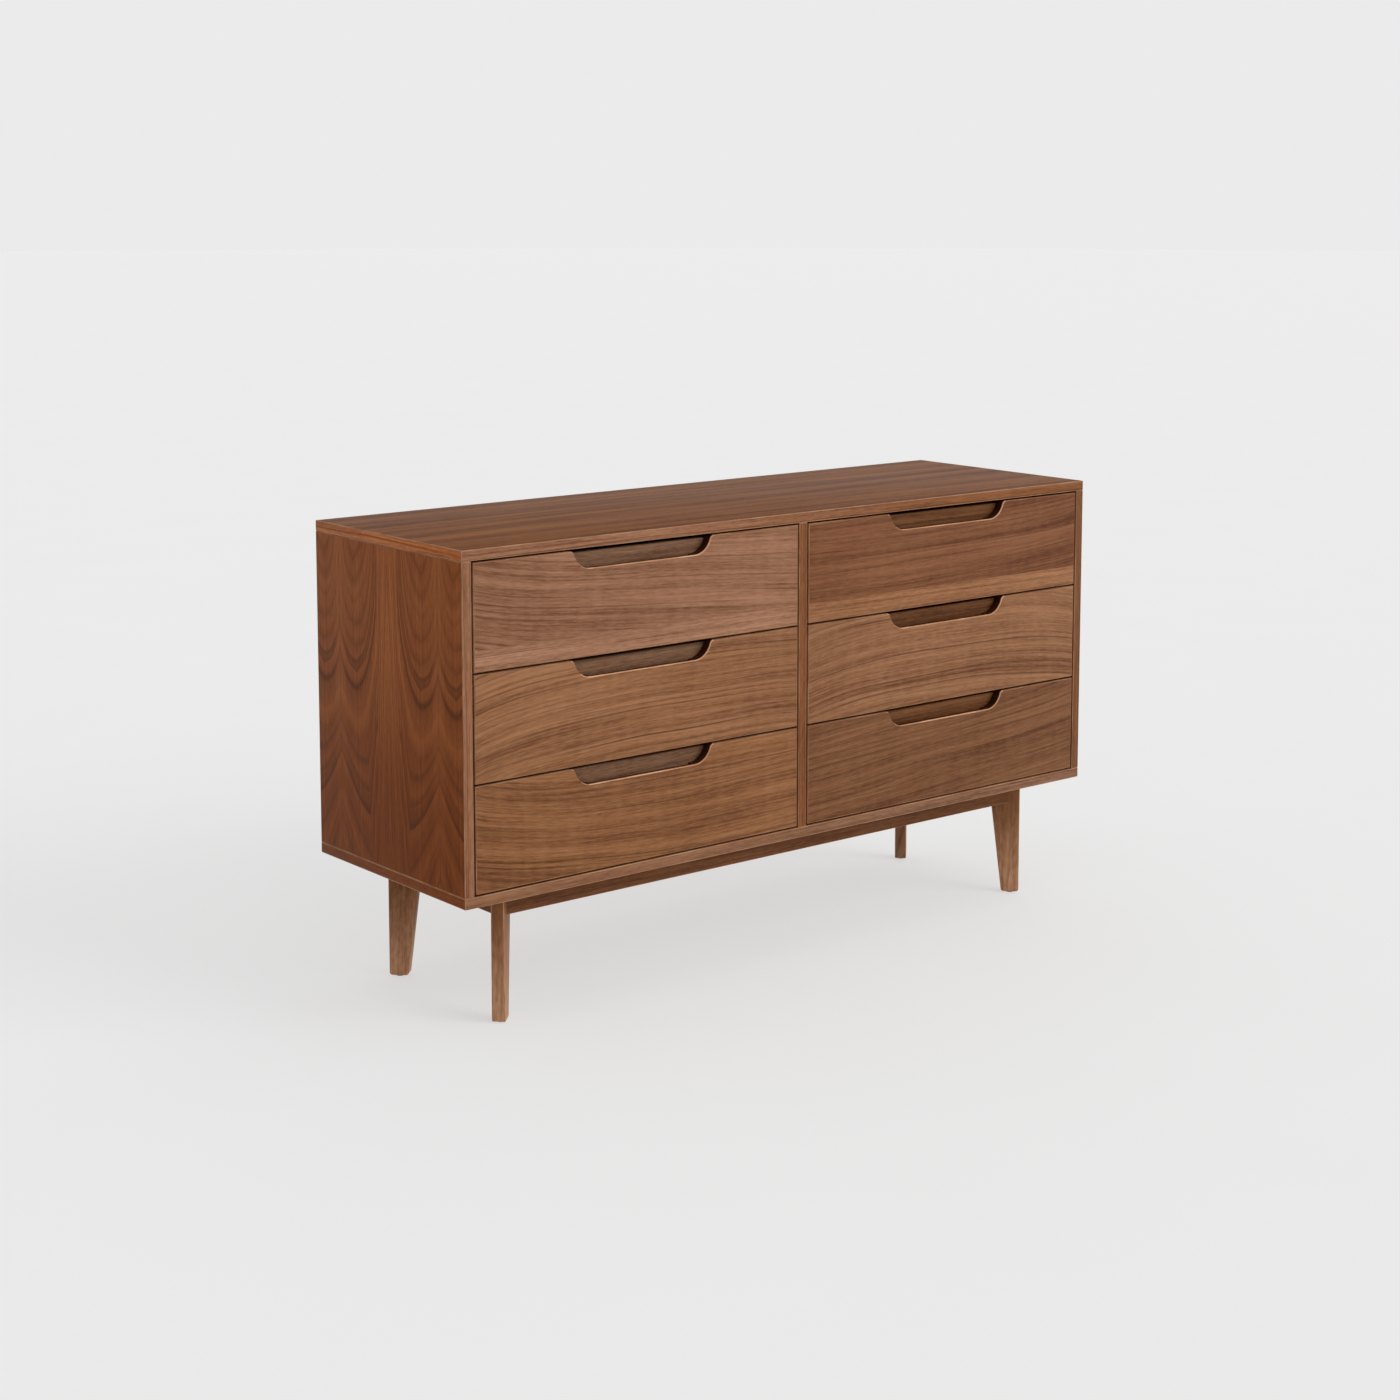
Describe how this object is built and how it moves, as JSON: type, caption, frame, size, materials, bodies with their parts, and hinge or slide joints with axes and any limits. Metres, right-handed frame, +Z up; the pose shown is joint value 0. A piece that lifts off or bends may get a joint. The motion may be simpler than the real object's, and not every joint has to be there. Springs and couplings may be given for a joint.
{
  "type": "dresser with drawers",
  "caption": "Low walnut dresser: two columns of inset drawers with routed finger pulls, each on side runners, over a rail base with diagonal tapered board legs.",
  "frame": {"origin": "on the floor, under the middle of the case", "axes": "+Z up, drawer fronts face -Y, +X along the width to the right seen from the front"},
  "size_m": [1.4, 0.44, 0.79],
  "materials": {
    "case_veneer": "satin lacquered walnut veneer",
    "front_veneer": "satin lacquered walnut veneer, grain level",
    "base_walnut": "satin lacquered solid walnut",
    "box_walnut": "matt stained drawer-box board",
    "back_ply": "thin veneered back board",
    "bottom_ply": "thin plywood",
    "beech_dowel": "fluted beech",
    "runner_steel": "zinc-plated rolled steel",
    "screw_steel": "zinc-plated steel",
    "glide_nylon": "matt nylon"
  },
  "bodies": {
    "case": {"top_panel": "case_veneer", "bottom_panel": "case_veneer", "left_end": "case_veneer", "right_end": "case_veneer", "centre_divider": "case_veneer", "back_panel": "back_ply", "dowels": "beech_dowel", "case_runners": "runner_steel", "front_left_leg": "base_walnut", "front_right_leg": "base_walnut", "back_left_leg": "base_walnut", "back_right_leg": "base_walnut", "front_rail": "base_walnut", "back_rail": "base_walnut", "left_rail": "base_walnut", "right_rail": "base_walnut", "base_screws": "screw_steel", "foot_glides": "glide_nylon"},
    "top_left_drawer": {"top_left_drawer_front": "front_veneer", "top_left_drawer_box_front": "box_walnut", "top_left_drawer_box_left_side": "box_walnut", "top_left_drawer_box_right_side": "box_walnut", "top_left_drawer_box_back": "box_walnut", "top_left_drawer_box_bottom": "bottom_ply", "top_left_drawer_runners": "runner_steel"},
    "top_right_drawer": {"top_right_drawer_front": "front_veneer", "top_right_drawer_box_front": "box_walnut", "top_right_drawer_box_left_side": "box_walnut", "top_right_drawer_box_right_side": "box_walnut", "top_right_drawer_box_back": "box_walnut", "top_right_drawer_box_bottom": "bottom_ply", "top_right_drawer_runners": "runner_steel"},
    "middle_left_drawer": {"middle_left_drawer_front": "front_veneer", "middle_left_drawer_box_front": "box_walnut", "middle_left_drawer_box_left_side": "box_walnut", "middle_left_drawer_box_right_side": "box_walnut", "middle_left_drawer_box_back": "box_walnut", "middle_left_drawer_box_bottom": "bottom_ply", "middle_left_drawer_runners": "runner_steel"},
    "middle_right_drawer": {"middle_right_drawer_front": "front_veneer", "middle_right_drawer_box_front": "box_walnut", "middle_right_drawer_box_left_side": "box_walnut", "middle_right_drawer_box_right_side": "box_walnut", "middle_right_drawer_box_back": "box_walnut", "middle_right_drawer_box_bottom": "bottom_ply", "middle_right_drawer_runners": "runner_steel"},
    "bottom_left_drawer": {"bottom_left_drawer_front": "front_veneer", "bottom_left_drawer_box_front": "box_walnut", "bottom_left_drawer_box_left_side": "box_walnut", "bottom_left_drawer_box_right_side": "box_walnut", "bottom_left_drawer_box_back": "box_walnut", "bottom_left_drawer_box_bottom": "bottom_ply", "bottom_left_drawer_runners": "runner_steel"},
    "bottom_right_drawer": {"bottom_right_drawer_front": "front_veneer", "bottom_right_drawer_box_front": "box_walnut", "bottom_right_drawer_box_left_side": "box_walnut", "bottom_right_drawer_box_right_side": "box_walnut", "bottom_right_drawer_box_back": "box_walnut", "bottom_right_drawer_box_bottom": "bottom_ply", "bottom_right_drawer_runners": "runner_steel"}
  },
  "joints": [
    {"name": "top_left_drawer_slide", "type": "slide", "parent": "case", "child": "top_left_drawer", "axis": [0, -1, 0], "range_m": [0, 0.26]},
    {"name": "top_right_drawer_slide", "type": "slide", "parent": "case", "child": "top_right_drawer", "axis": [0, -1, 0], "range_m": [0, 0.26]},
    {"name": "middle_left_drawer_slide", "type": "slide", "parent": "case", "child": "middle_left_drawer", "axis": [0, -1, 0], "range_m": [0, 0.26]},
    {"name": "middle_right_drawer_slide", "type": "slide", "parent": "case", "child": "middle_right_drawer", "axis": [0, -1, 0], "range_m": [0, 0.26]},
    {"name": "bottom_left_drawer_slide", "type": "slide", "parent": "case", "child": "bottom_left_drawer", "axis": [0, -1, 0], "range_m": [0, 0.26]},
    {"name": "bottom_right_drawer_slide", "type": "slide", "parent": "case", "child": "bottom_right_drawer", "axis": [0, -1, 0], "range_m": [0, 0.26]}
  ]
}
